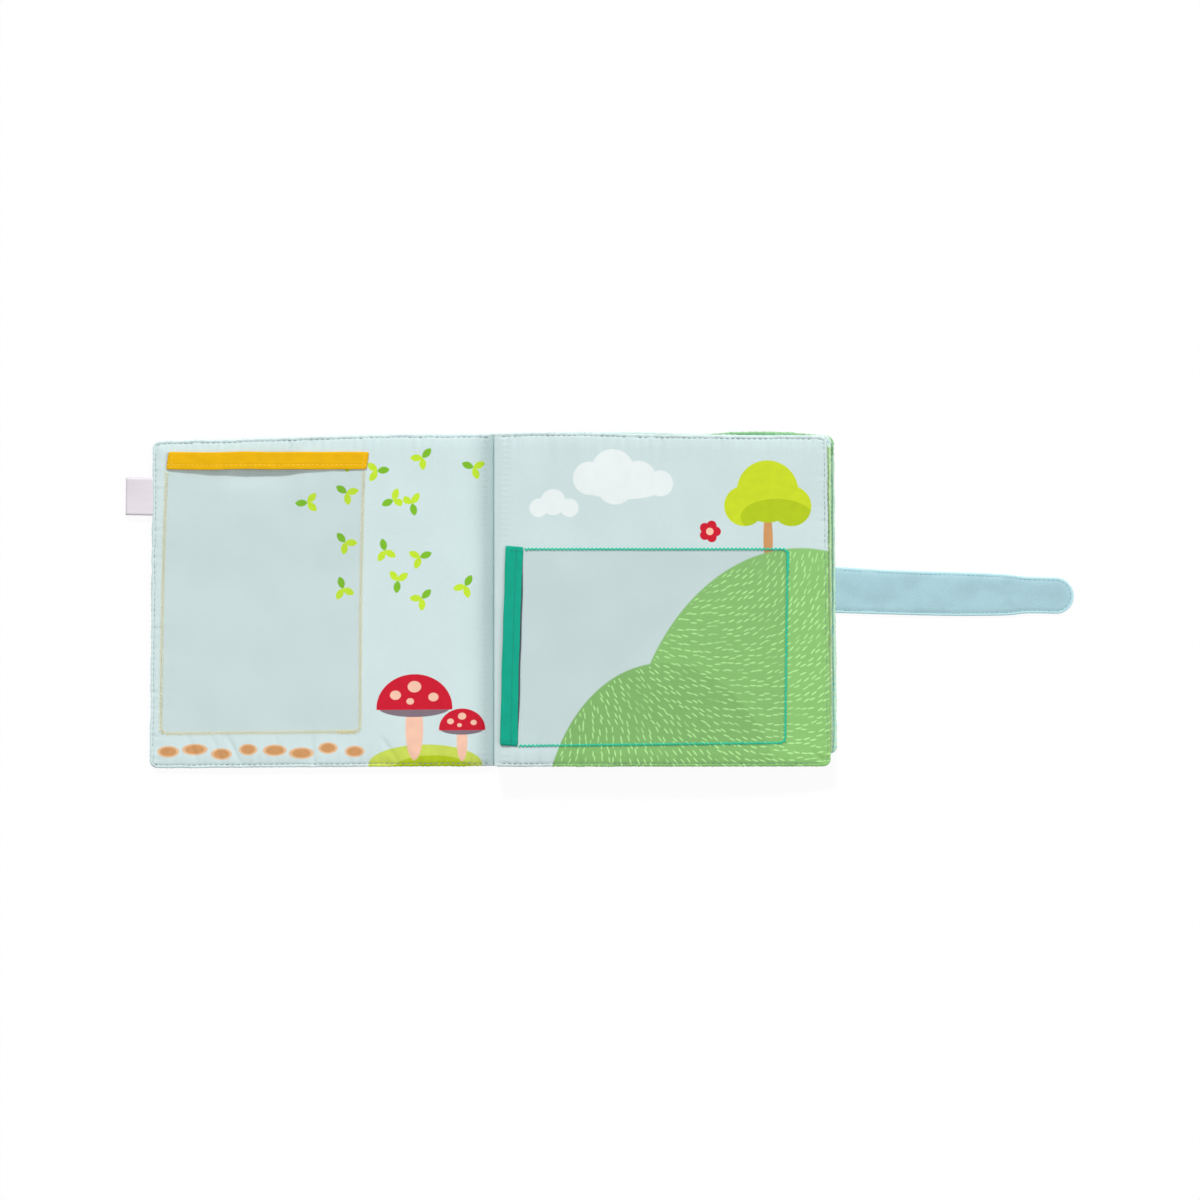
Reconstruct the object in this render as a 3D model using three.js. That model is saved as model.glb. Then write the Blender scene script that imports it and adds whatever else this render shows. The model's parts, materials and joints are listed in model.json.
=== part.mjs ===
import * as THREE from "three";

// A soft cloth photo album for a baby, lying open at its first spread. Sizes are in millimetres.
// +X runs from the spine to the strap, +Y to the head of the pages and +Z up. The origin is under
// the middle of the spine, on the surface that the album lies on.

// Pages: each is two cloths sewn round the rim, with wadding between them.
const coverReach = 188; // spine axis to a cover's free edge
const leafReach = 183; // spine axis to an inner leaf's free edge
const coverHeight = 182;
const leafHeight = 181;
const gutterReach = 3; // spine axis to the inner edge of every pad
const pageCorner = 5;
const sideDraw = 0.6; // how far the stuffing draws in the middle of a side
const padHalf = 1.4; // half the thickness of a padded page
const rimHalf = 0.7; // half the thickness at the sewn rim
const rimWidth = 2.5; // flat band outside the topstitching
const riseWidth = 4.5; // from the topstitching up to the flat of the pad
const riseSteps = 3;
const pucker = 0.12; // height of the small gathers beside the topstitching
const puckerPitch = 15;
const clothThickness = 0.4;
const edgeRound = 0.25;
const seamGap = 0.3; // between the two cloths at the rim

// Window pockets: a clear film sewn on three sides, its open edge bound with folded tape.
const pocketLong = 155.5; // takes a print of 150 by 100
const pocketShort = 109;
const portraitSide = 6; // from the page's free edge, on left-hand pages
const portraitFoot = 18; // from the page's foot
const landscapeSide = 2; // from the pad's inner edge, on right-hand pages
const landscapeFoot = 10.7;
const filmThickness = 0.3;
const filmCorner = 1.5;
const photoGap = 0.3; // room for the print
const tapeThickness = 0.3;
const tapeWidth = 9.6;
const tapeFold = 0.3; // from the film's edge to the inside of the fold
const tapeOverhang = 0.6; // past the film's corners
const seamBand = 1.6; // width of the sewn border

// Spine: the line of sewing that all pages turn about.
const seamRadius = 2.2;
const marginThickness = 0.7;
const spineThickness = 0.8;
const webHalf = 0.2; // half the thickness of the cloth fold that rises to the seam

// Closing strap, sewn into the back cover's free edge.
const strapLength = 130.7;
const strapRootWidth = 25.3;
const strapShoulderWidth = 24;
const strapTipWidth = 20;
const shoulderStart = 90;
const shoulderEnd = 104;
const strapThickness = 1.6;
const strapRound = 0.4;
const strapY = 4.4;

// Hook tape patch on the front cover's outside, under the strap's tip when the album is shut.
const patchLength = 30;
const patchWidth = 20;
const patchThickness = 0.9;
const patchCorner = 3;
const patchTipMargin = 2.6; // from the strap's tip to the patch's end

// Label: a bare ribbon, folded double and sewn into the front cover's free edge.
const labelLength = 14;
const labelWidth = 21;
const labelY = 58;
const ribbonThickness = 0.3;
const ribbonGap = 0.3;

const clearance = 0.3; // between pieces that seat on or pass one another
const cornerSteps = 4;
const smallestCorner = 0.8;

// Heights that follow from the sizes above.
const padRim = rimWidth + riseWidth;
const pocketLift = photoGap + filmThickness + 2 * tapeThickness;
const pagePitch = 2 * padHalf + 2 * pocketLift + clearance;
const backMiddle = padHalf;
const leaf2Middle = backMiddle + pagePitch;
const leaf1Middle = leaf2Middle + pagePitch;
const shutMiddle = leaf1Middle + pagePitch;
const frontMiddle = patchThickness + padHalf;
const spineZ = (shutMiddle + frontMiddle) / 2;
const strapRootX = coverReach + clearance;
const bridgeLength = 2 * spineZ + clearance - strapThickness;
const tailLength = strapLength - bridgeLength;

// The same run of points round a rounded rectangle for every inset, counter-clockwise, with
// sides that bow in by draw.
function roundedOutline(width, height, corner, draw = 0, pitch = Infinity) {
  const steps = [height, width].map((side) => Math.max(1, 2 * Math.round(side / pitch / 2)));
  return (inset) => {
    const radius = Math.max(corner - inset, smallestCorner);
    const halfX = width / 2 - inset;
    const halfY = height / 2 - inset;
    const points = [];
    for (let quarter = 0; quarter < 4; quarter++) {
      const signX = quarter === 0 || quarter === 3 ? 1 : -1;
      const signY = quarter < 2 ? 1 : -1;
      for (let i = 0; i <= cornerSteps; i++) {
        const angle = (quarter + i / cornerSteps) * (Math.PI / 2);
        points.push(
          new THREE.Vector2(
            signX * (halfX - radius) + radius * Math.cos(angle),
            signY * (halfY - radius) + radius * Math.sin(angle),
          ),
        );
      }
      const alongX = quarter % 2 === 0;
      const count = steps[alongX ? 1 : 0];
      const half = alongX ? halfX - radius : halfY - radius;
      const direction = quarter < 2 ? -1 : 1;
      for (let i = 1; i < count; i++) {
        const t = i / count;
        const along = direction * half * (2 * t - 1);
        const bow = draw * Math.sin(Math.PI * t);
        points.push(
          alongX
            ? new THREE.Vector2(along, signY * (halfY - bow))
            : new THREE.Vector2(signX * (halfX - bow), along),
        );
      }
    }
    return points;
  };
}

// A closed solid through rings. Each ring is [inset, height, ripple]: the outline drawn in by the
// inset, at that height, with every second point raised and the others lowered by the ripple.
function ringSolid(outlineAt, rings) {
  const positions = [];
  const index = [];
  const loops = rings.map(([inset, z, ripple = 0]) =>
    outlineAt(inset).map((p, i) => [p.x, p.y, z + (i % 2 ? ripple : -ripple)]),
  );
  const count = loops[0].length;
  loops.forEach((loop) => loop.forEach((point) => positions.push(...point)));
  for (let ring = 0; ring + 1 < loops.length; ring++)
    for (let i = 0; i < count; i++) {
      const a = ring * count + i;
      const b = ring * count + ((i + 1) % count);
      index.push(a, b, b + count, a, b + count, a + count);
    }
  [0, loops.length - 1].forEach((ring) => {
    const middle = positions.length / 3;
    const sum = loops[ring].reduce((s, p) => [s[0] + p[0], s[1] + p[1]], [0, 0]);
    positions.push(sum[0] / count, sum[1] / count, rings[ring][1]);
    for (let i = 0; i < count; i++) {
      const a = ring * count + i;
      const b = ring * count + ((i + 1) % count);
      index.push(...(ring === 0 ? [b, a, middle] : [a, b, middle]));
    }
  });
  const geometry = new THREE.BufferGeometry();
  geometry.setAttribute("position", new THREE.Float32BufferAttribute(positions, 3));
  geometry.setIndex(index);
  geometry.computeVertexNormals();
  return geometry;
}

// Extrudes a section of [x, z] points, counter-clockwise seen from the foot, along Y.
function alongPage(section, length) {
  const shape = new THREE.Shape(section.map(([x, z]) => new THREE.Vector2(x, z)));
  const geometry = new THREE.ExtrudeGeometry(shape, { depth: length, bevelEnabled: false });
  const turn = new THREE.Matrix4().makeBasis(
    new THREE.Vector3(1, 0, 0),
    new THREE.Vector3(0, 0, 1),
    new THREE.Vector3(0, -1, 0),
  );
  return geometry.applyMatrix4(turn).translate(0, length / 2, 0);
}

// The section of a strip folded double: two legs that run to +X from a round bend at x = 0.
function foldedSection(legLength, thickness, inside) {
  const inner = inside / 2;
  const outer = inner + thickness;
  const section = [];
  const steps = 6;
  for (let i = 0; i <= steps; i++) {
    const angle = Math.PI / 2 + (Math.PI * i) / steps;
    section.push([outer + outer * Math.cos(angle), outer * Math.sin(angle)]);
  }
  section.push([legLength, -outer], [legLength, -inner]);
  for (let i = steps; i >= 0; i--) {
    const angle = Math.PI / 2 + (Math.PI * i) / steps;
    section.push([outer + inner * Math.cos(angle), inner * Math.sin(angle)]);
  }
  section.push([legLength, inner], [legLength, outer]);
  return section;
}

function addPiece(group, name, geometry, look) {
  const mesh = new THREE.Mesh(geometry, new THREE.MeshStandardMaterial(look));
  mesh.name = name;
  group.add(mesh);
  return mesh;
}

const pageLook = { color: 0xd0e2e2, roughness: 0.88 };
const outerLook = { color: 0xa9ced7, roughness: 0.9 };
const waddingLook = { color: 0xf2f2ee, roughness: 1 };
const filmLook = { color: 0xe9eeee, roughness: 0.12, transparent: true, opacity: 0.3 };
const seamLook = { color: 0xe6dfa8, roughness: 0.8 };
const yellowLook = { color: 0xedb70d, roughness: 0.8 };
const tealLook = { color: 0x18a88d, roughness: 0.8 };
const strapLook = { color: 0xa9ced7, roughness: 0.95 };
const hookLook = { color: 0xe4eeee, roughness: 0.7 };
const labelLook = { color: 0xdbd7db, roughness: 0.75 };

// One cloth of a page, from the middle plane outwards: a turned-in hem, a flat band outside the
// topstitching with small gathers beside it, and the stuffed flat of the pad.
function clothGeometry(width, height) {
  const rings = [
    [padRim, padHalf - clothThickness],
    [rimWidth, seamGap / 2],
    [0, seamGap / 2],
    [0, rimHalf - edgeRound],
    [edgeRound, rimHalf],
    [rimWidth, rimHalf],
  ];
  for (let i = 1; i < riseSteps; i++) {
    const t = i / riseSteps;
    const rise = Math.sin((Math.PI / 2) * t) * (padHalf - rimHalf);
    rings.push([rimWidth + riseWidth * t, rimHalf + rise, i === 1 ? pucker : 0]);
  }
  rings.push([padRim, padHalf]);
  return ringSolid(roundedOutline(width, height, pageCorner, sideDraw, puckerPitch), rings);
}

function waddingGeometry(width, height) {
  const half = padHalf - clothThickness - clearance;
  const inset = padRim + clearance;
  return ringSolid(roundedOutline(width, height, pageCorner, sideDraw, 4 * puckerPitch), [
    [inset, -half],
    [inset, half],
  ]);
}

// A window pocket whose open edge runs along Y at x = 0, with its depth along +X, on a face at z = 0.
function addPocket(face, name, depth, width, tapeLook) {
  const filmZ = photoGap + tapeThickness;
  const film = ringSolid(roundedOutline(depth, width, filmCorner), [
    [0, filmZ],
    [0, filmZ + filmThickness],
  ]);
  addPiece(face, name + "_film", film.translate(depth / 2, 0, 0), filmLook);

  const fold = tapeFold + tapeThickness + filmThickness / 2;
  const section = foldedSection(tapeWidth + fold, tapeThickness, filmThickness);
  const tape = alongPage(section, width + 2 * tapeOverhang);
  tape.translate(-fold, 0, filmZ + filmThickness / 2);
  addPiece(face, name + "_tape", tape, tapeLook);

  const start = tapeWidth + clearance;
  const half = width / 2;
  const border = new THREE.Shape([
    new THREE.Vector2(start, -half),
    new THREE.Vector2(depth, -half),
    new THREE.Vector2(depth, half),
    new THREE.Vector2(start, half),
    new THREE.Vector2(start, half - seamBand),
    new THREE.Vector2(depth - seamBand, half - seamBand),
    new THREE.Vector2(depth - seamBand, seamBand - half),
    new THREE.Vector2(start, seamBand - half),
  ]);
  const seam = new THREE.ExtrudeGeometry(border, { depth: filmZ, bevelEnabled: false });
  addPiece(face, name + "_seam", seam, seamLook);
}

// Left-hand pages hold an upright print that goes in from the head.
function addPortraitPocket(face, name, reach, height) {
  const pocket = new THREE.Group();
  const foot = portraitFoot - height / 2;
  pocket.position.set(portraitSide - reach + pocketShort / 2, foot + pocketLong, 0);
  pocket.rotation.z = -Math.PI / 2;
  face.add(pocket);
  addPocket(pocket, name, pocketLong, pocketShort, yellowLook);
}

// Right-hand pages hold a print on its side that goes in from the gutter.
function addLandscapePocket(face, name, height) {
  const pocket = new THREE.Group();
  const foot = landscapeFoot - height / 2;
  pocket.position.set(gutterReach + landscapeSide, foot + pocketShort / 2, 0);
  face.add(pocket);
  addPocket(pocket, name, pocketLong, pocketShort, tealLook);
}

// The bare edge of a page's cloths between its pad and the spine's seam.
function marginGeometry(side, middle, height) {
  const half = marginThickness / 2;
  const rise = middle - spineZ;
  const angle = Math.atan2(rise, side * gutterReach);
  const near = seamRadius + clearance;
  const edgeX = side * (gutterReach - clearance);
  const across = new THREE.Vector2(-Math.sin(angle), Math.cos(angle)).multiplyScalar(half);
  const start = new THREE.Vector2(Math.cos(angle), Math.sin(angle)).multiplyScalar(near);
  const corners = [
    [start.x - across.x, start.y - across.y],
    [edgeX, rise - side * half],
    [edgeX, rise + side * half],
    [start.x + across.x, start.y + across.y],
  ];
  return alongPage(corners, height - 2 * pageCorner).translate(0, 0, spineZ);
}

// A page that lies flat on the given side of the spine, 1 for right and -1 for left. Its faces
// are groups with their origin on the spine and +Z out of the page.
function addPage(parent, name, page) {
  const { reach, height, side, middle, upperCloth, lowerCloth, upperLook, lowerLook } = page;
  const body = new THREE.Group();
  parent.add(body);
  const width = reach - gutterReach;
  const centre = (side * (reach + gutterReach)) / 2;
  const pad = new THREE.Group();
  pad.position.set(centre, 0, middle);
  body.add(pad);
  addPiece(pad, name + "_" + upperCloth, clothGeometry(width, height), upperLook);
  const lower = addPiece(pad, name + "_" + lowerCloth, clothGeometry(width, height), lowerLook);
  lower.rotation.y = Math.PI;
  addPiece(pad, name + "_wadding", waddingGeometry(width, height), waddingLook);
  addPiece(body, name + "_spine_margin", marginGeometry(side, middle, height), pageLook);
  const upperFace = new THREE.Group();
  upperFace.position.z = middle + padHalf;
  const lowerFace = new THREE.Group();
  lowerFace.position.z = middle - padHalf;
  lowerFace.rotation.y = Math.PI;
  body.add(upperFace, lowerFace);
  return { body, upperFace, lowerFace };
}

function addFrontCover(album) {
  const { body, upperFace, lowerFace } = addPage(album, "front_cover", {
    reach: coverReach,
    height: coverHeight,
    side: -1,
    middle: frontMiddle,
    upperCloth: "inner_cloth",
    lowerCloth: "outer_cloth",
    upperLook: pageLook,
    lowerLook: outerLook,
  });
  addPortraitPocket(upperFace, "front_cover_pocket", coverReach, coverHeight);
  const patch = ringSolid(roundedOutline(patchLength, patchWidth, patchCorner), [
    [0, 0],
    [0, patchThickness - edgeRound],
    [edgeRound, patchThickness],
  ]);
  const shutTip = strapRootX - tailLength;
  patch.translate(shutTip + patchTipMargin + patchLength / 2, strapY, 0);
  addPiece(lowerFace, "front_cover_hook_patch", patch, hookLook);

  const ribbon = alongPage(foldedSection(labelLength, ribbonThickness, ribbonGap), labelWidth);
  ribbon.translate(-coverReach - clearance - labelLength, labelY, frontMiddle);
  addPiece(body, "label_ribbon", ribbon, labelLook);
}

function addLeaf(album, name, middle) {
  const { upperFace, lowerFace } = addPage(album, name, {
    reach: leafReach,
    height: leafHeight,
    side: 1,
    middle,
    upperCloth: "front_cloth",
    lowerCloth: "back_cloth",
    upperLook: pageLook,
    lowerLook: pageLook,
  });
  addLandscapePocket(upperFace, name + "_front_pocket", leafHeight);
  addPortraitPocket(lowerFace, name + "_back_pocket", leafReach, leafHeight);
}

function addBackCover(album) {
  const { upperFace } = addPage(album, "back_cover", {
    reach: coverReach,
    height: coverHeight,
    side: 1,
    middle: backMiddle,
    upperCloth: "inner_cloth",
    lowerCloth: "outer_cloth",
    upperLook: pageLook,
    lowerLook: outerLook,
  });
  addLandscapePocket(upperFace, "back_cover_pocket", coverHeight);
}

// The seam's rolled edge, and the strip of cover cloth under it with its fold up to the seam.
function addSpine(album) {
  const length = coverHeight - 2 * pageCorner;
  const seam = new THREE.CylinderGeometry(seamRadius, seamRadius, length, 20);
  addPiece(album, "spine_seam", seam, pageLook).position.z = spineZ;
  const stripHalf = gutterReach - clearance;
  const webTop = spineZ - seamRadius - clearance;
  const section = [
    [-stripHalf, 0],
    [stripHalf, 0],
    [stripHalf, spineThickness],
    [webHalf, spineThickness],
    [webHalf, webTop],
    [-webHalf, webTop],
    [-webHalf, spineThickness],
    [-stripHalf, spineThickness],
  ];
  addPiece(album, "spine_cloth", alongPage(section, length), outerLook);
}

// Half the strap's width at a distance from its root: a slow taper, a shoulder, then the tip.
function strapHalf(distance) {
  const slow = Math.min(distance / shoulderStart, 1);
  const step = THREE.MathUtils.smoothstep(distance, shoulderStart, shoulderEnd);
  const body = THREE.MathUtils.lerp(strapRootWidth, strapShoulderWidth, slow);
  return THREE.MathUtils.lerp(body, strapTipWidth, step) / 2;
}

// The strap's outline between two distances from its root, counter-clockwise. At the strap's own
// end it closes in a round tip, and anywhere else it is cut square.
function strapOutline(from, to, stations) {
  const rounded = to === strapLength;
  return (inset) => {
    const tip = strapTipWidth / 2;
    const last = rounded ? to - tip : to;
    const lower = [];
    for (let i = 0; i <= stations; i++) {
      const x = THREE.MathUtils.lerp(from, last, i / stations);
      lower.push(new THREE.Vector2(x, inset - strapHalf(x)));
    }
    const upper = lower.map((p) => new THREE.Vector2(p.x, -p.y)).reverse();
    const cap = [];
    const steps = 16;
    for (let i = 1; rounded && i < steps; i++) {
      const angle = -Math.PI / 2 + (Math.PI * i) / steps;
      cap.push(new THREE.Vector2(last, 0));
      cap.at(-1).x += (tip - inset) * Math.cos(angle);
      cap.at(-1).y += (tip - inset) * Math.sin(angle);
    }
    return [...lower, ...cap, ...upper];
  };
}

// Two velour cloths, one over the other, in a stretch that wraps the shut album's edge and a tail
// that reaches over the front cover.
function addStrap(album) {
  const strap = new THREE.Group();
  strap.position.set(strapRootX, strapY, 0);
  album.add(strap);
  const half = strapThickness / 2;
  const stretches = [
    ["strap_bridge", 0, bridgeLength, 3],
    ["strap_tail", bridgeLength + clearance, strapLength, 20],
  ];
  stretches.forEach(([name, from, to, stations]) => {
    const outline = strapOutline(from, to, stations);
    const face = ringSolid(outline, [
      [0, half],
      [0, strapThickness - strapRound],
      [strapRound, strapThickness],
    ]);
    const back = ringSolid(outline, [
      [strapRound, 0],
      [0, strapRound],
      [0, half],
    ]);
    addPiece(strap, name + "_face", face, strapLook);
    addPiece(strap, name + "_back", back, strapLook);
  });
}

const album = new THREE.Group();
addSpine(album);
addBackCover(album);
addLeaf(album, "leaf_2", leaf2Middle);
addLeaf(album, "leaf_1", leaf1Middle);
addFrontCover(album);
addStrap(album);

export default album;
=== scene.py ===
import json
import math
from functools import partialmethod

import bmesh
import bpy
from mathutils import Matrix, Vector, noise


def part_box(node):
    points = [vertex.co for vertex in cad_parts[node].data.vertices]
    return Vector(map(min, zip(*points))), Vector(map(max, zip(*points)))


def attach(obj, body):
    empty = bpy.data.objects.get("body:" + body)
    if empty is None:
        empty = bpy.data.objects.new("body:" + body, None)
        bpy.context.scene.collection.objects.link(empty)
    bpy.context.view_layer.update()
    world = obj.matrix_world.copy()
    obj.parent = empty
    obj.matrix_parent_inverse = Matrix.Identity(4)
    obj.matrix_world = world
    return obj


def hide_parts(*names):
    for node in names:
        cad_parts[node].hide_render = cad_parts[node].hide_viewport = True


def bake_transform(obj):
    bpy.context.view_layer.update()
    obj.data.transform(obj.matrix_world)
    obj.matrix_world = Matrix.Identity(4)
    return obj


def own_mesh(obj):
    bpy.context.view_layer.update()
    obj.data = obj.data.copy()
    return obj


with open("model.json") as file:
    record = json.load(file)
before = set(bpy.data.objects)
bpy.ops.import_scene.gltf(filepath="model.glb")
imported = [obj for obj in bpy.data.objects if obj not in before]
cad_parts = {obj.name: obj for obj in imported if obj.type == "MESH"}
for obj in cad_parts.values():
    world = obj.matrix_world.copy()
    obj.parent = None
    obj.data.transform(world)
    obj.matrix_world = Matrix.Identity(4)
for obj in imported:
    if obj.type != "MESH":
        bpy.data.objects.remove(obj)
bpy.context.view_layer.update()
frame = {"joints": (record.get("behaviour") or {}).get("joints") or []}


# Padded pages. Each is two printed cloths sewn face to face round the rim and turned out over a
# slab of wadding, with a topstitch near the edge. At the spine the cloths run into one seam.
mm = 0.001
spine_z = next(joint["pos_m"][2] for joint in frame["joints"] if joint["name"] == "front_cover_turn")
rim_half = 0.9 * mm
stitch_inset, stitch_pitch = 1.7 * mm, 3.0 * mm
groove_depth, groove_half = 0.22 * mm, 0.4 * mm
crown_width = 8 * mm
page_corner = 4 * mm
thinnest = 0.25 * mm
root_half, root_bend, root_taper, root_step = 0.2 * mm, 0.5 * mm, 2.6 * mm, 0.36 * mm
hang_reach = 70 * mm
grid_step = 1.1 * mm
# The cloth's relief in millimetres: how high each kind stands, and how far it reaches from its seam.
gather_height, gather_reach = 1.15, 5
pull_height, pull_reach = 0.5, 3.5
fold_height, fold_reach = 0.6, 45
swell_height = 0.5
pucker_height, pucker_reach = 0.09, 1.2
root_pucker_height, root_pucker_reach = 0.18, 2.5
seam_allowance = 1.5
scallop_height = 0.15


def smooth(t):
    """0 below 0, 1 above 1, and an even swing between."""
    t = max(0.0, min(1.0, t))
    return t * t * (3 - 2 * t)


def bell(t):
    """1 at 0, and evenly less to both sides."""
    return math.exp(-(t**2))


def ripple(*place):
    """A slow chance number, from about -1 to 1."""
    return noise.noise(Vector(place))


def corners_of(node):
    """The lowest and the highest corner of a node's box."""
    return [Vector(corner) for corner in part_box(node)]


def steps_along(points, step):
    """Places and directions at even steps along a line of flat points."""
    gaps = [(b - a).length for a, b in zip(points, points[1:])]
    count = round(sum(gaps) / step)
    step = sum(gaps) / count
    found, i, gone = [], 0, 0.0
    for n in range(count + 1):
        while i < len(gaps) - 1 and n * step > gone + gaps[i]:
            gone += gaps[i]
            i += 1
        way = (points[i + 1] - points[i]) / gaps[i]
        found.append((points[i] + way * (n * step - gone), way))
    return found


def rounded_run(corners, radius):
    """A line through corners, each inner one rounded."""
    run, steps = [corners[0]], 6
    for before, corner, after in zip(corners, corners[1:], corners[2:]):
        start = corner + (before - corner).normalized() * radius
        end = corner + (after - corner).normalized() * radius
        centre = start + end - corner
        for i in range(steps + 1):
            t = i / steps * math.pi / 2
            run.append(centre + (start - centre) * math.cos(t) + (end - centre) * math.sin(t))
    return run + [corners[-1]]


class Page:
    """One padded page, by the space its solids hold. s runs in from its free edge, y to the head.

    In millimetres: knees, the bends (x, z) of the cloth from pad to seam. askew, the shift of the
    free corners at foot and head, then of the gutter's ends along it. hump, where the head bulges,
    its spread and rise. fall, the width, share and depth of the pad's fall to the spine. droop, the
    free edge's sag. creases: (x, y, x, y, width, depth). dips: (face, x, y, half_x, half_y, depth).
    """

    def __init__(
        self, name, upper, lower, seed, knees, askew, hump, fall=(9, 0.35, 0), droop=0, creases=(), dips=()
    ):
        low, high = corners_of(f"{name}_{lower}")[0], corners_of(f"{name}_{upper}")[1]
        self.name = name
        self.cloths = [f"{name}_{upper}", f"{name}_{lower}", f"{name}_wadding", f"{name}_spine_margin"]
        self.side = 1 if low.x + high.x > 0 else -1
        self.reach = max(abs(low.x), abs(high.x))
        self.width = self.reach - min(abs(low.x), abs(high.x))
        self.height = high.y - low.y
        self.middle = (low.z + high.z) / 2
        self.half = (high.z - low.z) / 2
        self.seed, self.askew, self.hump, self.fall, self.droop = seed, askew, hump, fall, droop
        self.creases, self.dips = creases, dips
        start = Vector((self.side * (self.reach - self.width), self.middle - fall[2] * mm))
        corners = [start, *(Vector(knee) * mm for knee in knees), Vector((0, spine_z))]
        self.root_line = steps_along(rounded_run(corners, root_bend), root_step)
        gaps = zip(self.root_line, self.root_line[1:])
        self.root_length = sum((b[0] - a[0]).length for a, b in gaps)

    def laid(self, x, y):
        """A point of the flat page where the real one lies, pushed askew at its corners."""
        u = min(abs(x) / self.reach, 1)
        v = y / self.height + 0.5
        foot, head, gutter_foot, gutter_head = self.askew
        dx = (foot[0] * (1 - v) + head[0] * v) * u
        dy = (foot[1] * (1 - v) + head[1] * v) * u + (gutter_foot * (1 - v) + gutter_head * v) * (1 - u)
        centre, spread, rise = self.hump
        dy += rise * v * v * bell((abs(x) / mm - centre) / spread)
        return x + dx * mm, y + dy * mm

    def sag(self, s):
        """How far the page hangs towards what it lies on, more and more up to its free edge."""
        return -self.droop * mm * max(0, 1 - max(s, 0) / hang_reach) ** 1.5

    def relief(self, s, y, face):
        """Gathers that run in from the seams, over the slow swell of the wadding."""
        shift = self.seed + 40 * (face < 0)
        x, y, s = self.side * (self.reach - s) / mm, y / mm, s / mm
        rise, to_root = self.height / 2 / mm - abs(y), self.width / mm - s
        gather = ripple(x / 2.5, rise / 30 + (5 if y > 0 else -5), shift)
        pull = ripple(y / 2.5, s / 30, shift + 7)
        fold = ripple(x / 11, y / 70, shift + 19)
        swell = ripple(x / 30, y / 30, shift + 13)
        height = gather_height * gather * math.exp(-max(rise - seam_allowance, 0) / gather_reach)
        height += pull_height * pull * math.exp(-max(s - seam_allowance, 0) / pull_reach)
        height += fold_height * fold * math.exp(-rise / fold_reach) + swell_height * swell
        tick, inset = math.tau / (stitch_pitch / mm), stitch_inset / mm
        height += pucker_height * math.cos(tick * x) * bell((rise - inset) / pucker_reach)
        height += pucker_height * math.cos(tick * y) * bell((s - inset) / pucker_reach)
        height += root_pucker_height * math.cos(tick * y) * bell(to_root / root_pucker_reach - 1)
        if face > 0:
            for x0, y0, x1, y1, width, depth in self.creases:
                run, rest = Vector((x1 - x0, y1 - y0)), Vector((x - x0, y - y0))
                t = max(0, min(1, rest.dot(run) / run.length_squared))
                gap = (rest - run * t).length / width
                if gap < 3:
                    height -= depth * bell(gap) * math.sin(math.pi * (0.12 + 0.82 * t))
        for side, x0, y0, half_x, half_y, depth in self.dips:
            if side == face:
                height -= depth * bell((x - x0) / half_x) * bell((y - y0) / half_y)
        return height * mm

    def thickness(self, inset):
        """Half the page's thickness at a distance from its edge: rim, topstitch, then crown."""
        if inset < stitch_inset:
            t = min(1, inset / rim_half)
            return rim_half * (0.3 + 0.7 * math.sqrt(1 - (1 - t) ** 2))
        t = min(1, (inset - stitch_inset) / (crown_width - stitch_inset))
        return rim_half + (self.half - rim_half) * math.sin(math.pi / 2 * t) ** 0.9

    def stray(self, s, y, inset):
        """How far the sewn edge strays outwards, with a small scallop at each stitch."""
        rise = self.height / 2 - abs(y)
        along, wide = (y, s) if s < rise else (s, y)
        place = Vector((along / (16 * mm), self.seed, 3 if wide > 0 else 5))
        wander = 0.5 * noise.noise(place) + 0.3 * noise.noise(place * 3.1)
        past_corner = min(1, max(0, (max(s, rise) - page_corner) / (6 * mm)))
        scallop = scallop_height * math.cos(math.tau * along / stitch_pitch)
        scallop *= max(0, 1 - inset / stitch_inset)
        return (wander * past_corner * (1 - inset / crown_width) + scallop) * mm

    def point(self, s, y, face):
        """Where the cloth lies, on the upper (1) or lower (-1) face."""
        edge = self.height / 2
        corner_s, corner_y = page_corner - s, abs(y) - (edge - page_corner)
        inset = min(s, edge - abs(y))
        flat_s, flat_y = s, y
        if corner_s > 0 and corner_y > 0:
            longer, radius = max(corner_s, corner_y), math.hypot(corner_s, corner_y)
            inset = page_corner - longer
            s = page_corner - corner_s * longer / radius
            y = math.copysign(edge - page_corner + corner_y * longer / radius, y)
        elif inset < crown_width:
            out = self.stray(s, y, inset)
            if s < edge - abs(y):
                s -= out
            else:
                y += math.copysign(out, y)
        to_root = self.width - s
        half = self.thickness(max(inset, 0)) - groove_depth * bell((inset - stitch_inset) / groove_half)
        seamed = min(1, inset / (1.8 * mm)) * smooth(to_root / (4 * mm) + 1)
        half = max(half + self.relief(flat_s, flat_y, face) * seamed, thinnest)
        centre, normal = Vector((self.side * (self.reach - s), self.middle)), Vector((0, 1))
        share = 0
        centre.y += self.sag(flat_s)
        if to_root < 0:
            share = min(1, -to_root / self.root_length)
            centre, way = self.root_line[round(share * (len(self.root_line) - 1))]
            centre, normal = centre.copy(), Vector((way.y, -way.x)) * self.side
        width, thin, sink = self.fall
        if to_root < width * mm:
            near = min(1, 1 - to_root / (width * mm)) ** 2.2
            half *= 1 - thin * near
            if share == 0:
                centre.y -= sink * mm * near
            half += (root_half - half) * min(1, max(0, -to_root) / root_taper)
        x, y = self.laid(centre.x, y * (1 - 0.006 * share))
        return Vector((x + face * half * normal.x, y, centre.y + face * half * normal.y))


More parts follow.
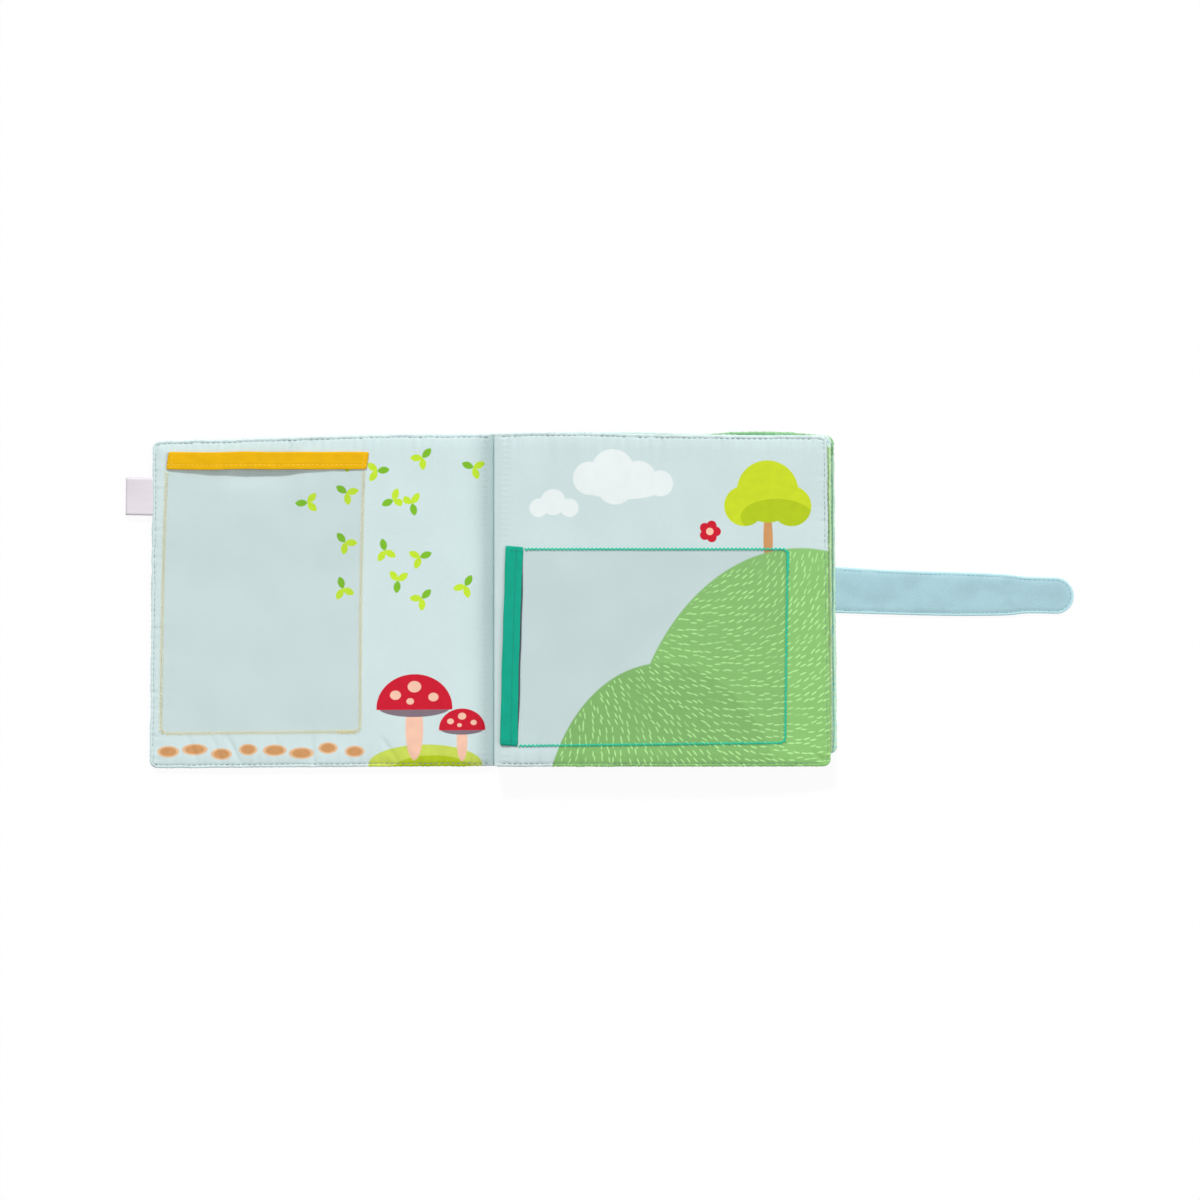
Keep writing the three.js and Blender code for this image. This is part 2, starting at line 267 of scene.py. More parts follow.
def page_lines(length):
    """Distances of a cloth's grid lines from one edge to the other, close together at the edges."""
    edge = [d * mm for d in (0, 0.25, 0.6, 1.0, 1.4, 1.7, 2.0, 2.5, 3.2, 4.1, 5.1, 6.1, 7.1)]
    count = round((length - 2 * crown_width) / grid_step)
    middle = [crown_width + (length - 2 * crown_width) * i / count for i in range(count + 1)]
    return edge + middle + [length - d for d in reversed(edge)]


def make_grid(columns, rows, layers=1):
    """A flat grid one unit wide and long, or two of them a unit apart and closed round the rim."""
    bm = bmesh.new()
    bmesh.ops.create_grid(bm, x_segments=columns, y_segments=rows, size=0.5)
    if layers == 2:
        bmesh.ops.solidify(bm, geom=bm.faces[:], thickness=-1)
    return bm


def make_piece(name, bm, *materials, rounded=True):
    """A mesh object from finished mesh data, facing outwards, and smooth unless it isn't rounded."""
    bm.normal_update()
    bmesh.ops.recalc_face_normals(bm, faces=bm.faces[:])
    for face in bm.faces:
        face.smooth = rounded
    mesh = bpy.data.meshes.new(name)
    bm.to_mesh(mesh)
    bm.free()
    for material in materials:
        mesh.materials.append(material)
    piece = bpy.data.objects.new(name, mesh)
    bpy.context.collection.objects.link(piece)
    return piece


def build_page(page):
    """The page's two cloths as one closed form. The lower cloth has the second material."""
    root_steps = len(page.root_line) - 1
    columns = [d for d in page_lines(page.width + 20 * mm) if d < page.width - 0.5 * mm]
    columns += [page.width + page.root_length * i / root_steps for i in range(root_steps + 1)]
    rows = [d - page.height / 2 for d in page_lines(page.height)]
    last_column, last_row = len(columns) - 1, len(rows) - 1
    bm = make_grid(last_column, last_row, 2)
    uv = bm.loops.layers.uv.new("cloth")
    place = {}
    for v in bm.verts:
        column, row = round((v.co.x + 0.5) * last_column), round((v.co.y + 0.5) * last_row)
        place[v] = (columns[column], rows[row], 1 if v.co.z > 0.5 else -1)
    for face in bm.faces:
        lower = all(place[v][2] < 0 for v in face.verts)
        face.material_index = 1 if lower else 0
        for loop in face.loops:
            s, y, _ = place[loop.vert]
            x = page.side * (page.reach - s)
            loop[uv].uv = (-x if lower else x, y)
    for v in bm.verts:
        v.co = page.point(*place[v])
    return make_piece(page.name + "_pad", bm)


def ride_page(piece, page):
    """Rides the page. What rides the front cover gets a mesh of its own."""
    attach(piece, page.name)
    if page is front_cover:
        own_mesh(piece)


back_cover = Page(
    "back_cover", "inner_cloth", "outer_cloth", 31, knees=[(1.05, 1.1), (1.05, 9.4)],
    askew=((0.4, 7.0), (-1.4, -2.0), 0, 0), hump=(150, 42, 3.9), fall=(9, 0.5, 0.3),
)
leaf_2 = Page(
    "leaf_2", "front_cloth", "back_cloth", 23, knees=[(1.5, 6.9), (1.5, 9)],
    askew=((2.6, 5.0), (2.0, 0.7), 0, 0.3), hump=(68, 42, 2.0), droop=2.0,
)
leaf_1 = Page(
    "leaf_1", "front_cloth", "back_cloth", 11, knees=[(-0.15, 12.45)],
    askew=((1.7, -0.4), (-0.5, 0.3), -0.4, 0.5), hump=(36, 52, 1.65), droop=4.0,
    creases=[(173, -82, 182, -90, 0.8, 0.6), (100, 89, 96, 72, 2.2, 0.12), (62, 89, 60, 74, 2.4, 0.12)],
)
front_cover = Page(
    "front_cover", "inner_cloth", "outer_cloth", 3,
    knees=[(-1.35, 1.6), (-1.05, 0.5), (0.6, 0.5), (0.6, 9.5)],
    askew=((-2.4, -1.0), (-0.7, -3.0), 0.2, 0.9), hump=(70, 55, 1.0), fall=(12, 0.45, 0.55), droop=0.6,
    creases=[
        (-167, -73.5, -161.5, -90, 0.8, 0.75), (-154, -73.5, -148.5, -90, 0.7, 0.5),
        (-146, -73.5, -138, -90, 0.9, 0.9), (-120, -73.5, -116, -86, 0.8, 0.4),
        (-99.8, -73.5, -99.5, -89, 0.8, 0.75), (-62, -75, -52, -90, 0.9, 0.6),
        (-50, -79, -43, -90, 0.7, 0.5), (-102, 90, -104, 82.5, 1.1, 0.5), (-98, 90, -99, 83, 0.8, 0.3),
        (-78, 90, -80, 78, 1.3, 0.3), (-152, 40, -132, 58, 1.2, 0.12),
    ],
    dips=[(1, -134, 71, 27, 6, 1.15), (1, -19, -20, 26, 88, -1.3), (-1, -132, 4, 60, 20, 0.5)],
)
pages = [back_cover, leaf_2, leaf_1, front_cover]
pads = {page.name: build_page(page) for page in pages}
for page in pages:
    pad = pads[page.name]
    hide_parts(*page.cloths)
    ride_page(pad, page)


# The scene's print. The page cloth is a smooth close weave in pale aqua, printed right to the
# edge, and the print runs on beneath the windows. Distances in the patterns are millimetres.
weave_rate = 12.6
cloth_bump, velour_bump = 0.05 * mm, 0.12 * mm


def linear(red, green, blue):
    """A colour read off as 0 to 255, as the shader wants it."""
    scale = [c / 255 for c in (red, green, blue)]
    return [c / 12.92 if c <= 0.04045 else ((c + 0.055) / 1.055) ** 2.4 for c in scale] + [1]


def shaded(colour, times):
    return [min(1, c * times) for c in colour[:3]] + [1]


def fill_inputs(tree, node, inputs):
    """Gives inputs their values, or links them where the value is another node's output."""
    for name, value in inputs.items():
        value = getattr(value, "socket", value)
        if isinstance(value, bpy.types.NodeSocket):
            tree.links.new(value, node.inputs[name])
        else:
            node.inputs[name].default_value = value


def add_node(tree, kind, inputs=(), **settings):
    node = tree.nodes.new("ShaderNode" + kind)
    for name, value in settings.items():
        setattr(node, name, value)
    fill_inputs(tree, node, dict(inputs))
    return node


class Field:
    """A number that varies over the cloth, held by a node's output."""

    def __init__(self, tree, socket):
        self.tree, self.socket = tree, socket

    def worked(self, kind, *others):
        node = add_node(self.tree, "Math", enumerate((self, *others)), operation=kind)
        return Field(self.tree, node.outputs[0])

    __add__ = partialmethod(worked, "ADD")
    __sub__ = partialmethod(worked, "SUBTRACT")
    __mul__ = partialmethod(worked, "MULTIPLY")
    __truediv__ = partialmethod(worked, "DIVIDE")
    least = partialmethod(worked, "MINIMUM")
    most = partialmethod(worked, "MAXIMUM")

    def hypot(self, other):
        return (self * self + other * other).worked("SQRT")

    def below(self, limit, soft=0.2):
        """1 where the number is under a limit, fading over a soft edge."""
        inputs = {"Value": self, "From Min": limit - soft, "From Max": limit + soft, "To Min": 1, "To Max": 0}
        node = add_node(self.tree, "MapRange", inputs, interpolation_type="SMOOTHSTEP")
        return Field(self.tree, node.outputs["Result"])


class Surface:
    """A material by its shader and the nodes that feed it."""

    def __init__(self, name, look):
        self.material = bpy.data.materials.new(name)
        self.material.use_nodes = True
        self.tree = self.material.node_tree
        self.wear(look)

    def wear(self, look):
        fill_inputs(self.tree, self.tree.nodes["Principled BSDF"], look)

    def texture(self, kind, output, inputs, **settings):
        """One output of a texture that lies on the piece's own coordinates."""
        place = add_node(self.tree, "TexCoord").outputs["Object"]
        return add_node(self.tree, "Tex" + kind, {"Vector": place, **inputs}, **settings).outputs[output]

    def mix(self, share, first, second):
        """The first colour where the share is 0, the second where it is 1."""
        node = add_node(self.tree, "Mix", {"Factor": share, "A": first, "B": second}, data_type="RGBA")
        return node.outputs["Result"]

    def bump(self, height, strength, distance, **settings):
        """Lays a relief over the shader, as the last step, and gives the material."""
        inputs = {"Height": height, "Strength": strength, "Distance": distance}
        self.wear({"Normal": add_node(self.tree, "Bump", inputs, **settings).outputs["Normal"]})
        return self.material


class Print(Surface):
    """Layers of colour on cloth, from the ground up, in page coordinates."""

    def __init__(self, name, ground, uneven=0.07):
        super().__init__(
            name, {"Roughness": 0.8, "Sheen Weight": 0.1, "Sheen Roughness": 0.5, "Specular IOR Level": 0.25}
        )
        place = add_node(self.tree, "UVMap", uv_map="cloth").outputs["UV"]
        scaled = add_node(self.tree, "VectorMath", {0: place, "Scale": 1 / mm}, operation="SCALE")
        self.point = scaled.outputs["Vector"]
        self.u, self.v = self.parts(self.point)
        self.brushed = self.noise(5, 5, 3)
        blotch = self.noise(26, 26, 2) * 0.6 + self.noise(1.8, 1.8, 2) * 0.4
        self.colour = self.mix(blotch, shaded(ground, 1 + uneven), shaded(ground, 1 - uneven))

    def parts(self, vector):
        """The first two of a vector's numbers."""
        apart = add_node(self.tree, "SeparateXYZ", {0: vector})
        return [Field(self.tree, output) for output in apart.outputs[:2]]

    def sized(self, wide, tall):
        """The place on the cloth, measured in a pattern's sizes."""
        inputs = {0: self.point, 1: (wide, tall, 1)}
        return add_node(self.tree, "VectorMath", inputs, operation="DIVIDE").outputs["Vector"]

    def noise(self, wide, tall, detail=2):
        """Soft blotches of about a size, 0 to 1."""
        inputs = {"Vector": self.sized(wide, tall), "Scale": 1, "Detail": detail}
        return Field(self.tree, add_node(self.tree, "TexNoise", inputs).outputs["Fac"])

    def paint(self, mask, colour, uneven=0.1):
        """A colour laid where the mask is 1, a little brushy as hand-drawn prints are."""
        brushed = self.mix(self.brushed, shaded(colour, 1 + uneven), shaded(colour, 1 - uneven))
        self.colour = self.mix(mask, self.colour, brushed)

    def ellipse(self, x, y, half_x, half_y):
        """Signed distance to an ellipse, near enough at its edge."""
        small = min(half_x, half_y)
        return ((self.u - x) / half_x).hypot((self.v - y) / half_y) * small - small

    def joined(self, *ellipses):
        """Signed distance to the outline of several ellipses together."""
        shape, *others = (self.ellipse(*ellipse) for ellipse in ellipses)
        for other in others:
            shape = shape.least(other)
        return shape

    def cells(self, size, randomness):
        """Scattered cells: the place in its cell, the cell's own place, and two chance numbers."""
        inputs = {"Vector": self.sized(size, size), "Scale": 1, "Randomness": randomness}
        cell = add_node(self.tree, "TexVoronoi", inputs, voronoi_dimensions="2D")
        cell_u, cell_v = (number * size for number in self.parts(cell.outputs["Position"]))
        return self.u - cell_u, self.v - cell_v, cell_u, cell_v, *self.parts(cell.outputs["Color"])

    def finish(self, bump_height):
        """The weave's two sets of threads, a little irregular, as a bump."""
        self.wear({"Base Color": self.colour})
        weave = (self.u * weave_rate).worked("SINE") * (self.v * weave_rate).worked("SINE")
        relief = weave * 0.25 + self.noise(0.5, 4, 1) + self.noise(4, 0.5, 1)
        return self.bump(relief, 0.5, bump_height)


def turned(x, y, angle):
    """A place in a pattern, turned by an angle that varies over the cloth."""
    cosine, sine = angle.worked("COSINE"), angle.worked("SINE")
    return x * cosine + y * sine, y * cosine - x * sine


lime, leaf_green = linear(195, 230, 48), linear(125, 188, 40)
meadow_green, blade_green = linear(140, 195, 114), linear(180, 234, 152)
cap_red, cap_shade, spot_peach = linear(204, 14, 44), linear(127, 111, 122), linear(247, 197, 172)
stone_brown, stone_light = linear(205, 149, 96), linear(230, 190, 150)
cloud_white, crown_lime, crown_shade = linear(232, 241, 240), linear(201, 219, 35), linear(178, 200, 22)


def paint_sprigs(cloth):
    """Sprigs of two pale leaves and a darker third, scattered on the page's upper part."""
    spacing, lowest, inmost, outmost = 23, -12, -9, -104
    x, y, cell_u, cell_v, first, second = cloth.cells(spacing, 0.7)
    x, y = turned(x, y, first * math.tau)
    shown = (cell_v * -1).below(-lowest, 0.01) * (cell_u * -1).below(-outmost, 0.01)
    shown = shown * second.below(0.85, 0.0005) * cell_u.below(inmost, 0.0005)
    for turn, colour in [(0.8, lime), (-0.8, lime), (math.pi, leaf_green)]:
        along = y * math.cos(turn) + x * math.sin(turn) - 3.4
        across = x * math.cos(turn) - y * math.sin(turn)
        leaf = (across.worked("ABSOLUTE") + 2.1).hypot(along) - 4.0
        cloth.paint(leaf.below(0) * shown, colour)


def paint_toadstool(cloth, x, foot, size):
    """A red cap with pale spots on a peach stem."""
    cap_foot = foot + 22 * size
    cloth.paint(cloth.ellipse(x, foot + 12 * size, 4.2 * size, 15 * size).below(0), spot_peach)
    cloth.paint(cloth.ellipse(x, cap_foot, 17 * size, 4.5 * size).below(0), cap_shade)
    cap = cloth.ellipse(x, cap_foot, 18 * size, 16 * size).most((cloth.v - foot - 21 * size) * -1)
    cloth.paint(cap.below(0), cap_red)
    for dx, dy, radius in [(-9, 6, 2.6), (0, 10, 3.2), (9, 5, 2.4), (-2, 3, 1.8)]:
        spot = cloth.ellipse(x + dx * size, foot + (22 + dy) * size, radius * size, radius * 0.85 * size)
        cloth.paint(spot.below(0), spot_peach)


def left_print(name, ground):
    """Sprigs over a row of stones, with a tuft and two toadstools by the spine."""
    cloth = Print(name, ground)
    paint_sprigs(cloth)
    cloth.paint(cloth.ellipse(-38, -90, 31, 11).below(0), linear(200, 217, 86))
    cloth.paint(cloth.ellipse(-34, -93, 22, 8).below(0), crown_shade)
    for i in range(8):
        stone = cloth.ellipse(-178 + 14.5 * i, -82 + 1.5 * math.sin(2.3 * i), 6 + math.sin(1.7 * i), 3.2)
        cloth.paint(stone.below(0), stone_light)
        cloth.paint(stone.below(-0.8, 0.4), stone_brown)
    paint_toadstool(cloth, -44, -84, 1.15)
    paint_toadstool(cloth, -18, -86, 0.7)
    return cloth.finish(cloth_bump)


def right_print(name, ground, meadow, blade, hill_top):
    """A cloud and a tree over two hills with blades of grass, and a flower."""
    cloth = Print(name, ground)
    puffs = [(52, 66, 9), (65, 70, 12), (79, 66, 10), (91, 64, 7), (66, 62, 10)]
    puffs += [(24, 50, 5), (32, 53, 7), (41, 50, 5)]
    cloud = cloth.joined((70, 61, 22, 6), *((x, y, radius, radius) for x, y, radius in puffs))
    cloth.paint(cloud.below(0, 0.4), cloud_white, 0.03)
    cloth.paint(cloth.ellipse(150, 34, 2.6, 16).below(0), stone_brown)
    crown = cloth.joined((150, 60, 17, 17), (137, 52, 11, 11), (163, 52, 11, 11))
    cloth.paint(crown.below(0), crown_lime)
    cloth.paint(crown.most(cloth.ellipse(155, 46, 20, 10)).below(0), crown_shade)
    hill = cloth.ellipse(168, -105, 98, hill_top + 105)
    near = cloth.ellipse(92, -126, 66, 92)
    cloth.paint(hill.below(0, 0.4), meadow, 0.04)
    cloth.paint(near.below(0, 0.4), shaded(meadow, 0.9), 0.04)
    x, y, cell_u, cell_v, first, _ = cloth.cells(4.0, 0.6)
    x, y = turned(x, y, cell_u * 0.014 + cell_v * 0.012 + first * 0.4)
    stroke = (x / 0.42).hypot(y / 1.9)
    grass = hill.least(near)
    cloth.paint(stroke.below(1, 0.3) * grass.below(-1) * cloth.noise(14, 14).below(0.66, 0.2), blade)
    flower_x, flower_y, petals, petal_reach = 118, 38, 5, 3.4
    for turn in range(petals):
        x = flower_x + petal_reach * math.cos(turn * math.tau / petals)
        y = flower_y + petal_reach * math.sin(turn * math.tau / petals)
        cloth.paint(cloth.ellipse(x, y, 2.7, 2.7).below(0), cap_red)
    cloth.paint(cloth.ellipse(flower_x, flower_y, 2, 2).below(0), spot_peach)
    return cloth.finish(cloth_bump)


def cover_velour(name, colour, rim):
    """Short-pile velour, brushed a little unevenly, with a painted highlight along its rolled edge where it
    has one.
    """
    cloth = Print(name, colour, 0.08)
    cloth.colour = cloth.mix(cloth.noise(20, 13, 3).below(0.45, 0.15), cloth.colour, shaded(colour, 0.9))
    if rim:
        # Painted highlight: within about 1.3 mm of the rim the velour is painted paler, standing for the
        # light on the rolled edge.
        inset = Field(cloth.tree, add_node(cloth.tree, "Attribute", attribute_name="inset").outputs["Fac"])
        cloth.colour = cloth.mix(inset.below(1.3, 0.5), cloth.colour, linear(188, 228, 234))
    cloth.wear({"Sheen Weight": 0.35, "Sheen Roughness": 0.4})
    return cloth.finish(velour_bump)


aqua = linear(208, 226, 226)
first_left = left_print("page_print_1_left", aqua)
first_right = right_print("page_print_1_right", shaded(aqua, 0.96), meadow_green, blade_green, 29)
second_left = left_print("page_print_2_left", linear(214, 228, 190))
second_right = right_print(
    "page_print_2_right", linear(205, 226, 222), linear(186, 221, 162), linear(214, 238, 190), 86
)
third_left = left_print("page_print_3_left", linear(190, 226, 214))
third_right = right_print(
    "page_print_3_right", linear(146, 194, 146), linear(190, 228, 200), linear(160, 222, 216), 84
)
outer_cloth = cover_velour("cover_velour", linear(168, 204, 213), False)
for name, cloths in {
    "front_cover": (first_left, outer_cloth),
    "leaf_1": (first_right, second_left),
    "leaf_2": (second_right, third_left),
    "back_cover": (third_right, outer_cloth),
}.items():
    for cloth in cloths:
        pads[name].data.materials.append(cloth)


# Topstitching: one line of thread round each page, a little in from the edge, showing as short
# dashes on both faces. It is sunk in the groove that it pulls.
topstitch_half, topstitch_radius, topstitch_lift = 1.0 * mm, 0.2 * mm, 0.05 * mm


def thread_material(name, colour):
    """Twisted polyester thread, with its plies as a fine slanted bump."""
    thread = Surface(name, {"Base Color": colour, "Roughness": 0.55})
    ply = thread.texture("Wave", "Fac", {"Scale": 900}, bands_direction="DIAGONAL")
    return thread.bump(ply, 0.4, 0.05 * mm)


bm = bmesh.new()
bmesh.ops.create_uvsphere(bm, u_segments=6, v_segments=4, radius=1)
bmesh.ops.rotate(bm, verts=bm.verts[:], matrix=Matrix.Rotation(math.pi / 2, 3, "Y"))
one_stitch = bpy.data.meshes.new("one_stitch")
bm.to_mesh(one_stitch)
bm.free()


def sew(name, stitches, radius, material):
    """One mesh of short rounded lengths of thread, each given by its two ends and the way up."""
    bm = bmesh.new()
    count = len(one_stitch.vertices)
    for start, end, up in stitches:
        along = (end - start).normalized()
        across = up.cross(along).normalized()
        axes = Matrix((along, across, along.cross(across))).transposed().to_4x4()
        size = Matrix.Diagonal(((end - start).length / 2 + radius, radius, radius * 0.8, 1))
        place = Matrix.Translation((start + end) / 2) @ axes @ size
        bm.from_mesh(one_stitch)
        bm.verts.ensure_lookup_table()
        for v in bm.verts[-count:]:
            v.co = place @ v.co
    return make_piece(name, bm, material)


def dashes(route, pitch, half):
    """The two ends of each stitch along a route of flat points."""
    return [(place - way * half, place + way * half) for place, way in steps_along(route, pitch)]


def on_faces(faces, flat_dashes, place):
    """Stitches for sewing, from flat dashes, by the function that puts an end on a face."""
    sides = [(dash, face) for dash in flat_dashes for face in faces]
    return [(*(place(end, face) for end in dash), Vector((0, 0, face))) for dash, face in sides]


def sew_round(page, colour):
    """The page's topstitch, which leaves out the spine."""
    half, spine_end = page.height / 2 - stitch_inset, page.width - 2 * mm
    corners = [(spine_end, half), (stitch_inset, half), (stitch_inset, -half), (spine_end, -half)]
    route = rounded_run([Vector(corner) for corner in corners], page_corner - stitch_inset)

    def stitch_place(end, face):
        return page.point(*end, face) + Vector((0, 0, face * topstitch_lift))

    stitches = on_faces((1, -1), dashes(route, stitch_pitch, topstitch_half), stitch_place)
    material = thread_material(page.name + "_thread", linear(*colour))
    thread = sew(page.name + "_topstitch", stitches, topstitch_radius, material)
    ride_page(thread, page)


for page, colour in zip(pages, [(52, 178, 160), (110, 170, 186), (118, 142, 142), (136, 158, 160)]):
    sew_round(page, colour)


# Window pockets: a sheet of soft clear film, sewn down on three sides with a zigzag, its open
# edge bound in a folded tape. A print slides in behind it.
film_half = 0.06 * mm
film_loose, film_lift = 8 * mm, 10 * mm
sewn_height, thread_over = 0.14 * mm, 0.14 * mm
zigzag_pitch = 2.2 * mm
zigzag_inset, zigzag_corner = 0.5 * mm, 2.6 * mm
zigzag_width = {"yellow": 2.2 * mm, "teal": 1.3 * mm}
zigzag_radius = {"yellow": 0.11 * mm, "teal": 0.38 * mm}
lock_from, lock_to = 13 * mm, 2.5 * mm
tape_wall = 0.22 * mm
tape_line = {"yellow": 2.6 * mm, "teal": 3.8 * mm}
tape_line_dip, tape_edge_dip = 0.14 * mm, 0.16 * mm
# How far, as a share, the teal tape's lower leg shows past the upper leg: it shows a strip of painted shade,
# a dark violet standing for the shadow between the tape's edge and the film.
painted_shade_share = {"yellow": 0, "teal": 0.04}
tape_end_line = 2.4 * mm
fine_pitch, fine_half = 2.6 * mm, 0.85 * mm


def tape_cloth(name, colour):
    """Close plain-woven binding tape."""
    tape = Surface(name, {"Roughness": 0.8, "Specular IOR Level": 0.15})
    uneven = tape.texture("Noise", "Fac", {"Scale": 160})
    tape.wear({"Base Color": tape.mix(uneven, shaded(colour, 0.9), shaded(colour, 1.08))})
    return tape.bump(tape.texture("Noise", "Fac", {"Scale": 2600}), 0.4, 0.08 * mm)


film = Surface("window_film", {"Base Color": linear(70, 78, 80), "Roughness": 0.12, "Alpha": 0.026})
film_material = film.bump(film.texture("Noise", "Fac", {"Scale": 45}), 0.25, 1 * mm)
# Not a thread: a dark violet painted shade for the teal tape's edge strip, standing for the shadow between
# the tape and the film.
tape_painted_shade = thread_material("tape_painted_shade", linear(66, 66, 84))
tape_of = {
    "yellow": [tape_cloth("yellow_tape", linear(236, 181, 8))],
    "teal": [tape_cloth("teal_tape", linear(16, 165, 137)), tape_painted_shade],
}
seam_thread = {
    "yellow": thread_material("yellow_thread", linear(252, 222, 118)),
    "teal": thread_material("teal_thread", linear(6, 202, 166)),
}
line_thread = {
    "yellow": thread_material("yellow_line_thread", linear(252, 214, 70)),
    "teal": thread_material("teal_line_thread", linear(14, 140, 118)),
}


class Pocket:
    """A window pocket by its film's corners. Depth runs in from its open edge, across along it.

    In millimetres: trim, by how much the tape's two ends pass the film's edges. lean, how far the
    tape's mouth slips along. corners, where the photograph shows them. bow, how far the film's
    sides bulge. agape says where the mouth stands open most, as a share, and by how much.
    """

    def __init__(self, page, stem, face, colour, trim, lean, corners=None, agape=(0.5, 0.15), bow=0):
        self.page, self.stem, self.face, self.colour = page, stem, face, colour
        self.lean, self.agape, self.bow = lean, agape, bow
        self.seed = page.seed + 17 * (face < 0)
        low, high = corners_of(stem + "_film")
        tape_low, tape_high = corners_of(stem + "_tape")
        size, tape = high - low, tape_high - tape_low
        upright = size.y > size.x
        self.depth, self.across = (size.y, size.x) if upright else (size.x, size.y)
        self.film_over = abs((low.z + high.z) / 2 - page.middle) - page.half
        self.tape_width = (tape.y if upright else tape.x) - 0.6 * mm
        self.leg, self.fold = self.tape_width - tape.z / 2, tape.z / 2 - tape_wall / 2
        self.tape_run = 2 * self.leg + math.pi * self.fold
        self.tape_ends = (-self.across / 2 - trim[0] * mm, self.across / 2 + trim[1] * mm)
        if corners:
            self.corners = [Vector(corner) * mm for corner in corners]
            return
        toward = Vector((0, -1)) if upright else Vector((page.side, 0))
        sideways = Vector((-toward.y, toward.x))
        centre = ((low + high) / 2).xy
        shares = [(d, a) for d in (-0.5, 0.5) for a in (-0.5, 0.5)]
        flat = [centre + toward * self.depth * d + sideways * self.across * a for d, a in shares]
        self.corners = [Vector(page.laid(*corner)) for corner in flat]

    def flat(self, depth, across):
        """Where a place in the pocket is on the table."""
        t, w = depth / self.depth, across / self.across + 0.5
        near, far = self.corners[0].lerp(self.corners[1], w), self.corners[2].lerp(self.corners[3], w)
        return near + (far - near) * t + Vector((self.bow * mm * math.sin(math.pi * t), 0))

    def mouth(self, across):
        """The bound edge's height over the flat of the page: sewn down at its ends, and agape."""
        w = max(0.0, min(1.0, across / self.across + 0.5))
        centre, gape = self.agape
        low = self.film_over - 0.35 * mm
        return low + 0.2 * mm * math.sin(math.pi * w) + gape * mm * bell((w - centre) / 0.27)

    def lifted(self, x, y, height):
        """The point at a height over the page's middle, which sags with the page."""
        page = self.page
        return Vector((x, y, page.middle + page.sag(page.reach - abs(x)) + self.face * height))

    def on_film(self, depth, across, over=0.0):
        """A point a little over the film, whose sewn edges lie on the cloth."""
        x, y = self.flat(depth, across)
        page = self.page
        from_seam = min(self.depth - depth, self.across / 2 - abs(across))
        wave = ripple(depth / (26 * mm), across / (26 * mm), self.seed)
        streak = ripple((depth + across) / (9 * mm), (depth - across) / (60 * mm), self.seed)
        free = self.film_over - 0.26 * mm + (0.12 * wave + 0.05 * streak) * mm
        height = page.half + page.relief(page.reach - abs(x), y, self.face) + sewn_height
        height += free * smooth(from_seam / film_loose)
        share = smooth((depth - self.tape_width) / film_lift)
        height = (page.half + self.mouth(across)) * (1 - share) + height * share
        return self.lifted(x, y, height + over)

    def on_tape(self, along, across, out):
        """Where the tape lies: upper leg, fold, then lower leg, from its middle outwards."""
        start, end = self.tape_ends
        from_end = min(across - start, end - across)
        # The teal tape's lower leg reaches out past the upper leg, so that its strip of painted shade shows.
        shows = painted_shade_share[self.colour] * smooth(from_end / (25 * mm))
        depth, lift = folded(along, self.leg, self.fold, out)
        if along < self.leg:
            depth *= 1 - shows
            lift -= tape_edge_dip * bell(along / (0.9 * mm))
            lift -= tape_line_dip * bell((along - tape_line[self.colour]) / (0.5 * mm))
        elif depth > 0:
            depth *= 1 + shows
        pressed = 1 - smooth(from_end / (1.6 * mm))
        lift *= 1 - 0.4 * pressed
        depth += (self.tape_width / 2 - depth) * 0.08 * pressed
        sway = 0.35 * mm * ripple(across / (22 * mm), 1, self.seed)
        soft = 0.14 * mm * ripple(across / (6 * mm), along / (4 * mm), self.seed)
        lean = self.lean * mm * (1 - depth / self.tape_width)
        x, y = self.flat(depth + sway - 0.2 * mm, across + lean)
        return self.lifted(x, y, self.page.half + self.mouth(across) + lift + (soft if lift > 0 else 0))


def folded(along, leg, fold, out=0.0):
    """Where a strip folded double lies: how far it is from the fold, and over the strip's middle."""
    turn = math.pi * fold
    if along < leg:
        return leg - along, fold + out
    if along > leg + turn:
        return along - leg - turn, -fold - out
    angle = (along - leg) / fold
    return -(fold + out) * math.sin(angle), (fold + out) * math.cos(angle)


def build_sheet(name, columns, rows, place, half, *materials):
    """A thin closed sheet, placed by two shares and the distance off its middle. Any second
    material is for the strip where the first share ends."""
    bm = make_grid(columns, rows, 2)
    for face in bm.faces:
        # The second material is the teal tape's painted shade, on the strip at the end of its lower leg.
        if len(materials) > 1 and face.calc_center_median().x > 0.5 - 5 / columns:
            face.material_index = 1
    for v in bm.verts:
        v.co = place(v.co.x + 0.5, v.co.y + 0.5, half if v.co.z > 0.5 else -half)
    return make_piece(name, bm, *materials)


def zigzag(pocket, *route):
    """Stitches from side to side along a line of (depth, across) places."""
    up = Vector((0, 0, pocket.face))
    spots = []
    for i, (place, way) in enumerate(steps_along(route, zigzag_pitch / 2)):
        place = place + Vector((-way.y, way.x)) * zigzag_width[pocket.colour] / 2 * (1 if i % 2 else -1)
        spots.append(pocket.on_film(*place, film_half + thread_over))
    return [(a, b, up) for a, b in zip(spots, spots[1:])]


